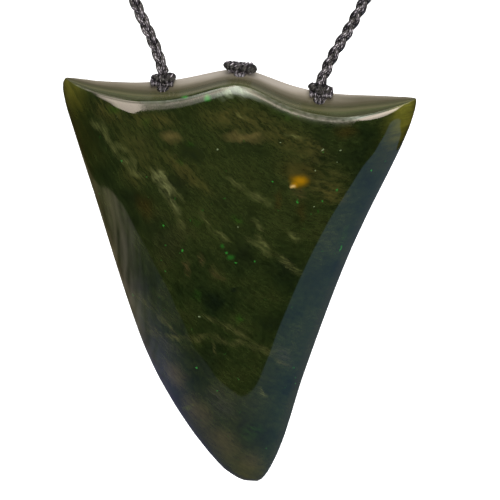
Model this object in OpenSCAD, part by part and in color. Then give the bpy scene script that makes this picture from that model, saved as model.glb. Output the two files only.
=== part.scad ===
// A polished jade pendant in the form of a shark tooth, bound to a plaited neck cord.
// The tooth hangs below the loop. The origin is where the loop rests on the neck,
// +X is to the right, +Y goes back and +Z up.

/* [Tooth] */
// Width across the two horns, which sets the scale of the outline
tooth_width = 58.5; // [40:0.5:80]
// Height from the horns down to the tip
tooth_height = 74.3; // [50:0.1:100]
// Thickness of the stone where it is fullest
tooth_thickness = 8.4; // [7.6:0.1:8.8]
// Depth of the two hollows in the top face
hollow_depth = 0.8; // [0:0.1:1.5]
// Distance down from the horns at which the scallops fade out
scallop_reach = 24; // [15:1:40]

/* [Holes] */
// Diameter of the three drilled holes
hole_d = 2; // [1.9:0.1:2.2]
// Distance of each side hole from the middle
hole_x = 13; // [10:0.5:16]
// Angle of each hole below the horizontal, going back
hole_slant = 60; // [58:1:62]

/* [Lashings] */
// Width of each side lashing where it goes over the edge
side_lashing_width = 4.1; // [3:0.1:5]
// Width of the centre lashing where it goes over the edge
centre_lashing_width = 5.8; // [3.5:0.1:7]

/* [Cord] */
// Diameter of the plaited cord
cord_d = 1.8; // [1.4:0.1:2]

/* [Hidden] */

// Height of the horns below the point where the loop rests on the neck
drop = 286;
// The tooth's middle lies in front of the loop's plane, so that the cord meets the lashings.
tooth_y = -2;
// Sizes that the tables below were drawn at
drawn_width = 58.5;
drawn_height = 74.3;
drawn_thickness = 8.4;
across = tooth_width / drawn_width;
down = tooth_height / drawn_height;
thick = tooth_thickness / drawn_thickness;

// One row for each level of the tooth, from the horns to just above the tip.
// Columns: depth below the horns, left edge, right edge, half thickness, edge power.
// An edge power of 0.5 gives a full, round-edged section and 1 gives a lens with thin edges.
DEPTH = 0;
LEFT = 1;
RIGHT = 2;
HALF = 3;
POWER = 4;
levels = [
    [0, -29.2, 28.9, 3.4, 0.55],
    [0.8, -29.6, 29.1, 3.8, 0.56],
    [2.2, -29.6, 29.0, 4.0, 0.58],
    [5, -29.0, 28.4, 4.1, 0.60],
    [9, -27.7, 27.1, 4.2, 0.62],
    [14, -26.1, 25.2, 4.2, 0.65],
    [20, -24.1, 22.8, 4.2, 0.68],
    [27, -21.9, 20.3, 4.15, 0.72],
    [34, -19.7, 18.2, 4.0, 0.76],
    [41, -17.4, 16.3, 3.8, 0.80],
    [48, -14.9, 14.5, 3.5, 0.82],
    [54, -12.2, 13.0, 3.15, 0.82],
    [60, -8.8, 11.8, 2.7, 0.78],
    [65, -5.5, 10.7, 2.2, 0.74],
    [69, -2.4, 9.5, 1.75, 0.68],
    [72, 0.3, 8.3, 1.2, 0.60],
    [73.6, 2.7, 7.3, 0.7, 0.55]
];
tip = [5.3, 0, -74.3];

// The scalloped top. Columns: place across from -1 to 1, height of the front rim and of the
// back rim above the horns.
FRONT = 1;
BACK = 2;
scallops = [
    [-1, 0, 0],
    [-0.83, -1.3, -0.8],
    [-0.62, -2.0, -1.0],
    [-0.42, -1.5, -0.5],
    [-0.25, 0, 0.8],
    [-0.1, 1.9, 2.2],
    [0, 2.4, 2.7],
    [0.1, 1.6, 2.0],
    [0.24, -0.7, 0.5],
    [0.42, -2.3, -0.6],
    [0.6, -2.7, -0.6],
    [0.8, -1.4, -0.1],
    [1, 0.5, 0.5]
];
// Power of the place across in a level's section
section_power = 2.4;
// Share of the hollows' depth that is left under the peak
peak_hollow = 0.4;
// Half width of the peak's ridge, as a share of the half width of the top
peak_half = 0.18;

columns = 24;
rings_per_level = 2;
top_rows = 6;

// A lashing's way round the bridge of stone between its hole and the back rim, seen from the
// side. Columns: distance back, height, spread, half thickness. A spread of 0 is as narrow as
// the hole, with the place measured from the hole's mouth, and a spread of 1 is the full width,
// with the place measured from the back rim.
Y = 0;
Z = 1;
SPREAD = 2;
BAND = 3;
lashing_path = [
    [-0.05, 0.1, 0, 0.55],
    [-1.1, 0.2, 0.3, 0.35],
    [-2.3, 0.5, 0.9, 0.3],
    [-1.5, 0.8, 1, 0.4],
    [-0.6, 0.7, 1, 0.5],
    [0.25, 0.65, 1, 0.45],
    [1.06, 0, 0.9, 0.45],
    [1.7, -1.1, 0.75, 0.4],
    [2.2, -2.1, 0.5, 0.4],
    [2.7, -3, 0.2, 0.45],
    [2.5, -3.7, 0, 0.55],
    [1.7, -2.95, 0, 0.65],
    [1.1, -1.9, 0, 0.7],
    [0.55, -0.95, 0, 0.7]
];
lashing_sides = 12;
hole_clearance = 0.2;
// Where a hole opens in the top face: 0 is the front rim and 1 is the back rim
mouth_back = 0.73;
peak_x = -0.4;
hole_length = 24;

// The loop of the neck cord, from the left lashing over the neck to the right one.
// Each point is [across, height].
cord_route = [
    [-13, -285],
    [-13.6, -283],
    [-14.9, -279.5],
    [-18, -273],
    [-25.2, -256],
    [-36, -230.5],
    [-49, -200],
    [-66, -160],
    [-82, -122.5],
    [-89, -88],
    [-82, -54],
    [-63, -25],
    [-34, -6],
    [0, 0.9],
    [34, -6],
    [63, -25],
    [82, -54],
    [89, -88],
    [82, -122.5],
    [66, -160],
    [49, -200],
    [36, -230.5],
    [25.2, -256],
    [18, -273],
    [14.9, -279.5],
    [13.6, -283],
    [13, -285]
];
cord_sides = 8;
rings_per_point = 3;

// A smooth curve through four neighbouring values, at t from 0 to 1 between the middle two
function smooth(a, b, c, d, t) =
    0.5 * (2 * b + (c - a) * t + (2 * a - 5 * b + 4 * c - d) * t * t
    + (3 * b - a - 3 * c + d) * t * t * t);
// The smooth curve through a table's rows, at row number r, which may lie between two rows
function along(table, r) =
    let (last = len(table) - 1, i = min(floor(r), last - 1))
    smooth(table[max(i - 1, 0)], table[i], table[i + 1], table[min(i + 2, last)], r - i);
// Row number at which a table's first column holds the value v
function row_at(table, v, i = 0) =
    i >= len(table) - 2 || table[i + 1][0] >= v
    ? i + (v - table[i][0]) / (table[i + 1][0] - table[i][0])
    : row_at(table, v, i + 1);

// How full a section is at a place across it, from 0 at the edges to 1 in the middle
function fullness(place, power) = pow(max(0, 1 - pow(abs(place), section_power)), power);
// How much of the scallops is left at a depth
function fade(depth) = pow(max(0, 1 - depth / scallop_reach), 2);
// A point of the tooth's skin: r is the row of levels, side is -1 in front and 1 behind
function skin(place, r, side) =
    let (
        level = along(levels, r),
        rim = along(scallops, row_at(scallops, place)),
        rise = side < 0 ? rim[FRONT] : rim[BACK],
        full = fullness(place, level[POWER]),
        middle_rise = (rim[FRONT] + rim[BACK]) / 2,
        lift = middle_rise + (rise - middle_rise) * min(1, 2 * full)
    )
    [
        across * ((level[LEFT] + level[RIGHT]) / 2 + place * (level[RIGHT] - level[LEFT]) / 2),
        thick * side * level[HALF] * full,
        down * (lift * fade(level[DEPTH]) - level[DEPTH])
    ];
// How deep the top face is hollowed at a place across
function hollow(place) =
    hollow_depth * fullness(place, 0.5)
    * (1 - (1 - peak_hollow) * exp(-pow(place / peak_half, 2)));
// A point of the top face: back is 0 at the front rim and 1 at the back rim
function top_point(place, back) =
    let (front_rim = skin(place, 0, -1), back_rim = skin(place, 0, 1))
    front_rim + back * (back_rim - front_rim)
    - [0, 0, hollow(place) * 4 * back * (1 - back)];

// Flat triangles for the four-cornered patch a, b, c, d
function patch(a, b, c, d) = [[a, b, c], [a, c, d]];

module tooth_body() {
    rings = (len(levels) - 1) * rings_per_level + 1;
    round = 2 * columns;
    places = [for (j = [0:columns]) -cos(180 * j / columns)];
    skin_points = [
        for (i = [0:rings - 1])
            let (r = i / rings_per_level)
            each [
                for (j = [0:columns]) skin(places[j], r, -1),
                for (j = [columns - 1:-1:1]) skin(places[j], r, 1)
            ]
    ];
    top_points = [
        for (k = [1:top_rows - 1])
            for (j = [1:columns - 1]) top_point(places[j], k / top_rows)
    ];
    tip_point = [across * tip.x, 0, down * tip.z];
    first_top = rings * round;
    tip_index = first_top + len(top_points);
    skin_faces = [
        for (i = [0:rings - 2])
            for (j = [0:round - 1])
                let (a = i * round + j, b = i * round + (j + 1) % round)
                each patch(a, b, b + round, a + round)
    ];
    tip_faces = [
        for (j = [0:round - 1])
            let (a = (rings - 1) * round + j, b = (rings - 1) * round + (j + 1) % round)
            [a, b, tip_index]
    ];
    top_index = function (j, k)
        k == 0 || j == 0 || j == columns ? j
        : k == top_rows ? round - j
        : first_top + (k - 1) * (columns - 1) + j - 1;
    top_faces = [
        for (k = [0:top_rows - 1])
            for (j = [0:columns - 1])
                let (
                    a = top_index(j, k),
                    b = top_index(j, k + 1),
                    c = top_index(j + 1, k + 1),
                    d = top_index(j + 1, k)
                )
                each (j == 0 ? [[a, c, d]] : j == columns - 1 ? [[a, b, d]] : patch(a, b, c, d))
    ];
    polyhedron(
        concat(skin_points, top_points, [tip_point]),
        concat(skin_faces, tip_faces, top_faces)
    );
}

// Place across, from -1 to 1, of a point of the top x millimetres from the middle
function place_at(x) = (2 * x / across - levels[0][LEFT] - levels[0][RIGHT])
    / (levels[0][RIGHT] - levels[0][LEFT]);
// The middle of a hole's mouth in the top face
function mouth(x) = top_point(place_at(x), mouth_back);

// A drilled hole that slants down and back from the top face
module hole(x) {
    translate(mouth(x))
        rotate([90 - hole_slant, 0, 0])
            cylinder(d = hole_d, h = hole_length, center = true, $fn = 48);
}

module tooth() {
    color("darkolivegreen")
        translate([0, tooth_y, -drop])
            difference() {
                tooth_body();
                for (x = [-hole_x, peak_x, hole_x]) hole(x);
            }
}

// A closed ring of thread round the bridge of stone, width wide where it goes over the edge
module lashing(x, width) {
    count = len(lashing_path);
    narrow = hole_d / 2 - hole_clearance;
    start = mouth(x);
    bridge = skin(place_at(x), 0, 1) - start;
    way = [for (row = lashing_path) [row[Y], row[Z]] + row[SPREAD] * [bridge.y, bridge.z]];
    points = [
        for (i = [0:count - 1])
            let (
                row = lashing_path[i],
                run = way[(i + 1) % count] - way[(i + count - 1) % count],
                out = [-run.y, run.x] / norm(run),
                half = narrow + row[SPREAD] * (width / 2 - narrow)
            )
            for (s = [0:lashing_sides - 1])
                let (
                    a = 360 * s / lashing_sides,
                    off = way[i] + out * row[BAND] * sin(a)
                )
                [start.x + half * cos(a), start.y + off.x, start.z + off.y]
    ];
    faces = [
        for (i = [0:count - 1])
            for (s = [0:lashing_sides - 1])
                let (
                    here = i * lashing_sides,
                    next = (i + 1) % count * lashing_sides,
                    t = (s + 1) % lashing_sides
                )
                each patch(here + s, here + t, next + t, next + s)
    ];
    color("dimgray")
        translate([0, tooth_y, -drop])
            polyhedron(points, faces);
}

module left_lashing() {
    lashing(-hole_x, side_lashing_width);
}

module centre_lashing() {
    lashing(peak_x, centre_lashing_width);
}

module right_lashing() {
    lashing(hole_x, side_lashing_width);
}

module neck_cord() {
    rings = (len(cord_route) - 1) * rings_per_point + 1;
    points = [
        for (i = [0:rings - 1])
            let (
                r = i / rings_per_point,
                here = along(cord_route, r),
                ahead = along(cord_route, min(r + 0.05, len(cord_route) - 1)),
                behind = along(cord_route, max(r - 0.05, 0)),
                run = (ahead - behind) / norm(ahead - behind)
            )
            for (s = [0:cord_sides - 1])
                let (
                    a = 360 * (s + 0.5) / cord_sides,
                    side = cord_d / 2 * cos(a)
                )
                [here[0] - run[1] * side, cord_d / 2 * sin(a), here[1] + run[0] * side]
    ];
    sides = [
        for (i = [0:rings - 2])
            for (s = [0:cord_sides - 1])
                let (a = i * cord_sides + s, b = i * cord_sides + (s + 1) % cord_sides)
                each patch(a, b, b + cord_sides, a + cord_sides)
    ];
    ends = [
        [for (s = [cord_sides - 1:-1:0]) s],
        [for (s = [0:cord_sides - 1]) (rings - 1) * cord_sides + s]
    ];
    color("darkslategray")
        polyhedron(points, concat(sides, ends));
}

tooth();
left_lashing();
centre_lashing();
right_lashing();
neck_cord();
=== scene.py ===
# %% [markdown]
# A polished nephrite pendant in the form of a large shark tooth hangs on a plaited cord. Its outline, its
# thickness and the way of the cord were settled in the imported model. This lesson loads that model as a
# fixed frame and dresses it: first the camera and the cord, then the stone and the lashings, then the
# finishes and the light. Everything is in metres, so a size in millimetres is multiplied by MM.

# %% Load the frame
import math

import bmesh
import bpy
import numpy as np
from mathutils import Matrix, Vector


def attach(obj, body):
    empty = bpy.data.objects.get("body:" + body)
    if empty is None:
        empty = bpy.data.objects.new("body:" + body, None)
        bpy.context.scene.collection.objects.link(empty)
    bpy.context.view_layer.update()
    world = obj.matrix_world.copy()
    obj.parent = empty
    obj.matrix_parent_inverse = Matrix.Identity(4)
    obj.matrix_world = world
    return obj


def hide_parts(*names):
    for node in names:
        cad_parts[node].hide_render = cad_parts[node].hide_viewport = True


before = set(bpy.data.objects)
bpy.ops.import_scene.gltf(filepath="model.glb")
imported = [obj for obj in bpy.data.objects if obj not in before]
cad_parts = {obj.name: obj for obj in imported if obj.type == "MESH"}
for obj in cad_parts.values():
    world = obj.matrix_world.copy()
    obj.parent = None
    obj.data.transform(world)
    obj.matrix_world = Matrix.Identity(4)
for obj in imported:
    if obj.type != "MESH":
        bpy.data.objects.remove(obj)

MM = 0.001
scene = bpy.context.scene
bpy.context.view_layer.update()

# %% [markdown]
# The photograph was taken with a long lens from a little above, and the picture is turned by three degrees,
# so the horns don't lie level in it. A camera could be placed by eye, but here its height and roll were
# worked out from the horns, the two rims and the tip, and the stone itself stays upright.

# %% Place the camera
AZIMUTH = math.radians(2)
ELEVATION = math.radians(25)
PICTURE_TURN = math.radians(3.1)
DISTANCE = 420 * MM
aim = Vector((2.94, -2, -315.08)) * MM

back = Vector((
    math.sin(AZIMUTH) * math.cos(ELEVATION), -math.cos(AZIMUTH) * math.cos(ELEVATION), math.sin(ELEVATION)
))
camera = bpy.data.objects.new("camera", bpy.data.cameras.new("camera"))
scene.collection.objects.link(camera)
camera.data.lens = 177.9  # millimetres, on a sensor that is 36 mm wide
camera.data.sensor_width = 36
camera.data.clip_start = 0.01
camera.data.clip_end = 100
camera.matrix_world = (
    Matrix.Translation(aim + back * DISTANCE)
    @ (-back).to_track_quat("-Z", "Y").to_matrix().to_4x4()
    @ Matrix.Rotation(PICTURE_TURN, 4, "Z")
)
scene.camera = camera
print("camera at", [round(v, 4) for v in camera.location])

# %% [markdown]
# A few small helpers serve every piece. A thread is a tube round a line of points, and its UV map gives the
# distance along it and round it, which the finish of the thread follows later. A value that the finish
# needs at each point, such as how thick the stone is there, is stored in the mesh as an attribute.
# Modifiers are added and applied by hand in Blender, and one function does the same here.

# %% Threads as tubes
def new_piece(name, points, faces, uvs):
    """A mesh object from points, faces and one UV pair for each corner of each face."""
    mesh = bpy.data.meshes.new(name)
    mesh.from_pydata([tuple(p) for p in points], [], faces)
    mesh.uv_layers.new(name="UVMap").data.foreach_set("uv", np.array(uvs, np.float32).ravel())
    piece = bpy.data.objects.new(name, mesh)
    scene.collection.objects.link(piece)
    for polygon in mesh.polygons:
        polygon.use_smooth = True
    return piece


def tube(path, radii, sides, flat, closed=False):
    """Points, faces and UVs of a tube along path. The second radius is the one in the direction of flat."""
    path, flat = np.asarray(path, float), np.asarray(flat, float)
    count = len(path)
    run = np.roll(path, -1, 0) - np.roll(path, 1, 0) if closed else np.gradient(path, axis=0)
    run /= np.linalg.norm(run, axis=1)[:, None]
    out = flat - (flat * run).sum(1)[:, None] * run
    out /= np.linalg.norm(out, axis=1)[:, None]
    side = np.cross(run, out)
    wide, thick = (np.broadcast_to(radius, count)[:, None, None] for radius in radii)
    angle = np.arange(sides)[:, None] * 2 * math.pi / sides
    rings = path[:, None] + side[:, None] * wide * np.cos(angle) + out[:, None] * thick * np.sin(angle)
    steps = np.linalg.norm(np.roll(path, -1, 0) - path, axis=1)
    length = np.concatenate([[0], np.cumsum(steps)])
    faces, uvs = [], []
    for i in range(count if closed else count - 1):
        j = (i + 1) % count
        for s in range(sides):
            t = (s + 1) % sides
            faces.append((i * sides + s, j * sides + s, j * sides + t, i * sides + t))
            uvs += [(length[i + a], (s + b) / sides) for a, b in ((0, 0), (1, 0), (1, 1), (0, 1))]
    return rings.reshape(-1, 3), faces, uvs


def join_tubes(name, tubes):
    """One piece from several tubes."""
    points, faces, uvs = [], [], []
    for tube_points, tube_faces, tube_uvs in tubes:
        start = len(points)
        points += list(tube_points)
        faces += [tuple(start + i for i in face) for face in tube_faces]
        uvs += tube_uvs
    return new_piece(name, points, faces, uvs)


# %% Attributes and modifiers
def store(piece, name, values):
    """Stores one value for each point of the piece, which its finish reads by this name."""
    piece.data.attributes.new(name, "FLOAT", "POINT").data.foreach_set("value", values)


def apply_modifier(piece, name, kind, **settings):
    """Adds a modifier with its settings to the piece and applies it."""
    modifier = piece.modifiers.new(name, kind)
    for key, value in settings.items():
        setattr(modifier, key, value)
    bpy.ops.object.select_all(action="DESELECT")
    piece.select_set(True)
    bpy.context.view_layer.objects.active = piece
    bpy.ops.object.modifier_apply(modifier=name)


# %% [markdown]
# The neck cord is a plait of three strands. Each strand swings from side to side and goes over and under
# the other two, so seen from the front it draws a wave, and seen from above a figure of eight. A rope like
# this could be one tube with a bump, but then its edge would be smooth, and the edge is where the eye sees
# a plait. So one repeat of the plait is modelled straight, an Array modifier repeats it, and a Curve
# modifier lays it along the loop.

# %% The way of the loop
# Half of the loop in millimetres, from the left lashing up to the neck: across and height
half_loop = [
    (-13, -285), (-13.6, -283), (-14.9, -279.5), (-18, -273), (-25.2, -256), (-36, -230.5), (-49, -200),
    (-66, -160), (-82, -122.5), (-89, -88), (-82, -54), (-63, -25), (-34, -6), (0, 0.9),
]
STEPS = 10


def smooth_line(points, steps, closed=False):
    """Points on the smooth curve through the given ones, steps of them for each."""
    points = np.array(points, float)
    count = len(points)
    found = []
    for i in range(count if closed else count - 1):
        near = [(i + k) % count if closed else min(max(i + k, 0), count - 1) for k in (-1, 0, 1, 2)]
        a, b, c, d = points[near]
        for t in np.arange(steps) / steps:
            found.append(0.5 * (
                2 * b + (c - a) * t + (2 * a - 5 * b + 4 * c - d) * t * t + (3 * b - a - 3 * c + d) * t ** 3
            ))
    if not closed:
        found.append(points[-1])
    return np.array(found)


# Each end leans forward and is tucked down in front of its lashing: across, back, height
tuck = [(-12.95, -1.05, -286.2), (-13.0, -0.55, -285.6)]
left_half = tuck + [(x, 0, z) for x, z in half_loop]
loop = left_half + [(-x, y, z) for x, y, z in reversed(left_half[:-1])]
way = smooth_line(loop, STEPS) * MM
loop_length = np.linalg.norm(np.diff(way, axis=0), axis=1).sum()
route = bpy.data.curves.new("cord_way", "CURVE")
route.dimensions = "3D"
route.twist_mode = "Z_UP"
spline = route.splines.new("POLY")
spline.points.add(len(way) - 1)
spline.points.foreach_set("co", np.concatenate([way, np.ones((len(way), 1))], axis=1).ravel())
route_object = bpy.data.objects.new("cord_way", route)
scene.collection.objects.link(route_object)
print("the loop is", round(loop_length, 4), "m long")

# %% One repeat of the plait
REPEATS = 98
RINGS = 18
pitch = loop_length / REPEATS
SWING = 0.54 * MM  # how far a strand swings to each side
DIVE = 0.34 * MM  # how far it goes in front of the middle and behind it
STRAND = (0.45 * MM, 0.36 * MM)  # its half width and half thickness
phase = np.linspace(0, 2 * math.pi, RINGS + 1)
strands = []
for k in range(3):
    turn = phase + k * 2 * math.pi / 3
    line = np.stack([phase / (2 * math.pi) * pitch, DIVE * np.sin(2 * turn), SWING * np.sin(turn)], axis=1)
    strands.append(tube(line, STRAND, 8, flat=(0, 1, 0)))
neck_cord = join_tubes("neck_cord_plait", strands)
# Painted shade: the thread's colour is darkened from the crests of the plait down into its valleys
CREST, VALLEY = 0.62 * MM, 0.22 * MM
DARK_CREST, DARK_VALLEY = 0.05, 1.05
from_middle = [abs(v.co.y) for v in neck_cord.data.vertices]
store(neck_cord, "painted_shade", np.interp(from_middle, (VALLEY, CREST), (DARK_VALLEY, DARK_CREST)))
print("one repeat is", round(pitch / MM, 2), "mm long")

# %% Repeat it along the loop
apply_modifier(
    neck_cord, "repeat", "ARRAY", count=REPEATS, use_relative_offset=False, use_constant_offset=True,
    constant_offset_displace=(pitch, 0, 0), use_merge_vertices=True, merge_threshold=0.01 * MM,
)
bpy.ops.object.mode_set(mode="EDIT")
bpy.ops.mesh.select_all(action="SELECT")
bpy.ops.mesh.fill_holes(sides=0)
bpy.ops.object.mode_set(mode="OBJECT")
apply_modifier(neck_cord, "lay", "CURVE", object=route_object, deform_axis="POS_X")
bpy.data.objects.remove(route_object)
print("plait:", len(neck_cord.data.polygons), "faces")

# %% [markdown]
# The stone is ground from a flat slab. First the outline is cut, then both faces are ground to a dome that
# runs out to thin edges, then the top is scalloped and hollowed. The model follows the same order. A flat
# grid gets the outline row by row, Solidify gives it a thickness that a vertex group sets for each point,
# and the top is shaped column by column.

# %% The outline, row by row
TOOTH_PLACE = Vector((0, -2, -286)) * MM  # the middle between the horns
# Depth below the horns, left edge, right edge, half thickness, and how sharply the section thins out
levels = np.array([
    (0, -29.2, 28.9, 3.4, 0.55), (0.8, -29.6, 29.1, 3.8, 0.56), (2.2, -29.6, 29.0, 4.0, 0.58),
    (5, -29.0, 28.4, 4.1, 0.60), (9, -27.7, 27.1, 4.2, 0.62), (14, -26.1, 25.2, 4.2, 0.65),
    (20, -24.1, 22.8, 4.2, 0.68), (27, -21.9, 20.3, 4.15, 0.72), (34, -19.7, 18.2, 4.0, 0.76),
    (41, -17.4, 16.3, 3.8, 0.80), (48, -14.9, 14.5, 3.5, 0.82), (54, -12.2, 13.0, 3.15, 0.82),
    (60, -8.8, 11.8, 2.7, 0.78), (65, -5.5, 10.7, 2.2, 0.74), (69, -2.4, 9.5, 1.75, 0.68),
    (72, 0.3, 8.3, 1.2, 0.60), (73.6, 2.7, 7.3, 0.7, 0.55), (74.3, 4.3, 6.3, 0, 0.5),
])
COLUMNS = 24
ROWS = 2 * (len(levels) - 1)
rows = np.array([np.interp(np.arange(ROWS + 1) / 2, np.arange(len(levels)), c) for c in levels.T]).T
places_across = -np.cos(np.arange(COLUMNS + 1) * math.pi / COLUMNS)

bpy.ops.object.select_all(action="DESELECT")
bpy.ops.mesh.primitive_grid_add(
    x_subdivisions=COLUMNS, y_subdivisions=ROWS, size=1, location=TOOTH_PLACE, rotation=(math.pi / 2, 0, 0)
)
tooth = bpy.context.object
tooth.name = "tooth_stone"
bpy.ops.object.transform_apply(location=True, rotation=True, scale=True)


def select(piece, chosen):
    """In edit mode, selects the points with these numbers and nothing else."""
    mesh = bmesh.from_edit_mesh(piece.data)
    mesh.verts.ensure_lookup_table()
    for part in (mesh.verts, mesh.edges, mesh.faces):
        for item in part:
            item.select = False
    for i in chosen:
        mesh.verts[i].select = True
    mesh.select_flush_mode()
    bmesh.update_edit_mesh(piece.data)


def grid_row(i):
    """The points of a row. The grid numbers its rows from the bottom up, each from left to right."""
    return range((ROWS - i) * (COLUMNS + 1), (ROWS - i + 1) * (COLUMNS + 1))


bpy.ops.object.mode_set(mode="EDIT")
bpy.ops.mesh.select_mode(type="VERT")
for j in range(COLUMNS + 1):
    select(tooth, [grid_row(i)[j] for i in range(ROWS + 1)])
    bpy.ops.transform.translate(value=(places_across[j] / 2 - (j / COLUMNS - 0.5), 0, 0))
for i, (depth, left, right, _, _) in enumerate(rows):
    select(tooth, grid_row(i))
    start = 0.5 - i / ROWS
    bpy.ops.transform.resize(value=((right - left) * MM, 1, 1), center_override=TOOTH_PLACE)
    bpy.ops.transform.translate(value=((left + right) / 2 * MM, 0, -depth * MM - start))
bpy.ops.object.mode_set(mode="OBJECT")
print("outline", [round(v / MM, 1) for v in tooth.dimensions], "mm")

# %% The thickness
SECTION = 2.4
THICKEST = levels[:, 3].max()


def fullness(place, power):
    """How full the section is at a place across it: 1 in the middle and 0 at the edges."""
    return np.maximum(0, 1 - np.abs(place) ** SECTION) ** power


group = tooth.vertex_groups.new(name="thickness")
for i, (_, _, _, half, power) in enumerate(rows):
    for j, point in enumerate(grid_row(i)):
        group.add([point], half / THICKEST * fullness(places_across[j], power), "REPLACE")
apply_modifier(
    tooth, "grind", "SOLIDIFY", thickness=2 * THICKEST * MM, offset=0, vertex_group="thickness",
    thickness_vertex_group=0, use_rim=True,
)
bpy.ops.object.mode_set(mode="EDIT")
bpy.ops.mesh.select_all(action="SELECT")
bpy.ops.mesh.remove_doubles(threshold=0.002 * MM)
bpy.ops.object.mode_set(mode="OBJECT")
print("stone", [round(v / MM, 1) for v in tooth.dimensions], "mm,", len(tooth.data.vertices), "points")

# %% [markdown]
# The top of the stone has two shallow scoops with a peak between them. The front rim dips lower than the
# back rim, and the face between the rims is hollowed like a gutter. The top could be cut with curved tools,
# but then the rows would no longer meet it neatly. So each column of points is stretched up or down from a
# line 24 mm below the horns, and the scoops fade out into the faces.

# %% Points for the hollow
TOP_CUTS = 5
mesh = tooth.data
co = np.array([v.co for v in mesh.vertices]) - np.array(TOOTH_PLACE)
on_top = np.abs(co[:, 2]) < 0.01 * MM
bpy.ops.object.mode_set(mode="EDIT")
bpy.ops.mesh.select_mode(type="EDGE")
edit = bmesh.from_edit_mesh(mesh)
for edge in edit.edges:
    a, b = edge.verts
    edge.select = bool(on_top[a.index] and on_top[b.index] and co[a.index, 1] * co[b.index, 1] < -1e-12)
print("edges from front to back:", sum(e.select for e in edit.edges))
bmesh.update_edit_mesh(mesh)
bpy.ops.mesh.subdivide(number_cuts=TOP_CUTS)
bpy.ops.mesh.select_mode(type="VERT")

# %% The scallops
# Place across from -1 to 1, height of the front rim and of the back rim above the horns
scallops = np.array([
    (-1, 0, 0), (-0.83, -1.3, -0.8), (-0.62, -2.0, -1.0), (-0.42, -1.5, -0.5), (-0.25, 0, 0.8),
    (-0.1, 1.9, 2.2), (0, 2.4, 2.7), (0.1, 1.6, 2.0), (0.24, -0.7, 0.5), (0.42, -2.3, -0.6),
    (0.6, -2.7, -0.6), (0.8, -1.4, -0.1), (1, 0.5, 0.5),
])
REACH = 24
HOLLOW = 0.8
PEAK_HALF = 0.18
PEAK_SHALLOWER = 0.6


def top_at(place):
    """Height of both rims, half thickness and depth of the gutter, at a place from -1 to 1 across the top."""
    rims = [float(np.interp(place, scallops[:, 0], scallops[:, k])) for k in (1, 2)]
    gutter = HOLLOW * fullness(place, 0.5) * (1 - PEAK_SHALLOWER * math.exp(-(place / PEAK_HALF) ** 2))
    return *rims, rows[0, 3] * fullness(place, rows[0, 4]), gutter


def stretch(chosen, rise):
    """Stretches these points up from the line, so that those level with the horns rise by this much."""
    select(tooth, chosen)
    foot = TOOTH_PLACE + Vector((0, 0, -REACH * MM))
    bpy.ops.transform.resize(value=(1, 1, 1 + rise / REACH), center_override=foot)


edit = bmesh.from_edit_mesh(mesh)
co = np.array([v.co for v in edit.verts]) - np.array(TOOTH_PLACE)
depths = -co[:, 2] / MM
left, right = (np.interp(depths, rows[:, 0], rows[:, k]) for k in (1, 2))
place = (2 * co[:, 0] / MM - left - right) / (right - left)
top = depths < 0.01
column = np.rint(np.arccos(np.clip(-place, -1, 1)) * COLUMNS / math.pi).astype(int)
for j in range(COLUMNS + 1):
    front_rim, back_rim, rim_half, gutter = top_at(places_across[j])
    mine = (column == j) & (depths < REACH)
    for side, rise in ((-1, front_rim), (1, back_rim)):
        stretch(np.flatnonzero(mine & (co[:, 1] * side > 0) & ~top), rise)
    for point in np.flatnonzero(mine & top):
        share = 0.5 if rim_half == 0 else (co[point, 1] / (rim_half * MM) + 1) / 2
        rise = front_rim + share * (back_rim - front_rim) - gutter * 4 * share * (1 - share)
        select(tooth, [point])
        bpy.ops.transform.translate(value=(0, 0, rise * MM))
    edge_points = np.flatnonzero(mine & (np.abs(co[:, 1]) < 1e-7) & ~top)
    if len(edge_points):
        stretch(edge_points, (front_rim + back_rim) / 2)
bpy.ops.object.mode_set(mode="OBJECT")
print("scalloped stone", [round(v / MM, 1) for v in tooth.dimensions], "mm")

# %% [markdown]
# Hand polishing leaves no edge sharp. The two rims of the top are beveled by a third of a millimetre, and a
# Subdivision Surface rounds the rest. It would round the front rim evenly, but right of the peak the real
# face meets it more sharply, so a crease on that stretch holds the smoothing back.

# %% The rim and the polish
RIM = 0.3 * MM
CREASE, CREASE_MIDDLE, CREASE_HALF = 0.6, 10, 9  # its strength, and in millimetres its place and half length
bpy.ops.object.mode_set(mode="EDIT")
bpy.ops.mesh.select_mode(type="EDGE")
edit = bmesh.from_edit_mesh(tooth.data)
edit.normal_update()
for edge in edit.edges:
    a, b = (v.co - TOOTH_PLACE for v in edge.verts)
    edge.select = (
        len(edge.link_faces) == 2 and edge.calc_face_angle() > math.radians(40)
        and min(a.z, b.z) > -4 * MM and abs(a.x + b.x) / 2 < 26 * MM
    )
print("rim edges", sum(e.select for e in edit.edges))
bmesh.update_edit_mesh(tooth.data)
bpy.ops.mesh.bevel(offset=RIM, segments=2, affect="EDGES")
edit = bmesh.from_edit_mesh(tooth.data)
crease = edit.edges.layers.float.new("crease_edge")
for edge in edit.edges:
    beside = [face for face in edge.link_faces if not face.select]
    x = sum(v.co.x for v in edge.verts) / 2 / MM
    if len(beside) == 1 and len(edge.link_faces) == 2 and beside[0].normal.y < -0.5:
        edge[crease] = CREASE * max(0, 1 - ((x - CREASE_MIDDLE) / CREASE_HALF) ** 2)
bmesh.update_edit_mesh(tooth.data)
bpy.ops.mesh.select_all(action="SELECT")
bpy.ops.mesh.normals_make_consistent(inside=False)
bpy.ops.object.mode_set(mode="OBJECT")
apply_modifier(tooth, "smooth", "SUBSURF", levels=2, render_levels=2)

# %% [markdown]
# Three holes are drilled from the hollow of the top face down to the back, one on each side for the cord
# and one under the peak. A round drill is taken from the stone with a Boolean, after the smoothing, so the
# holes stay round. Where each hole opens is worked out from the scallops: most of the way back on the top
# face.

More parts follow.
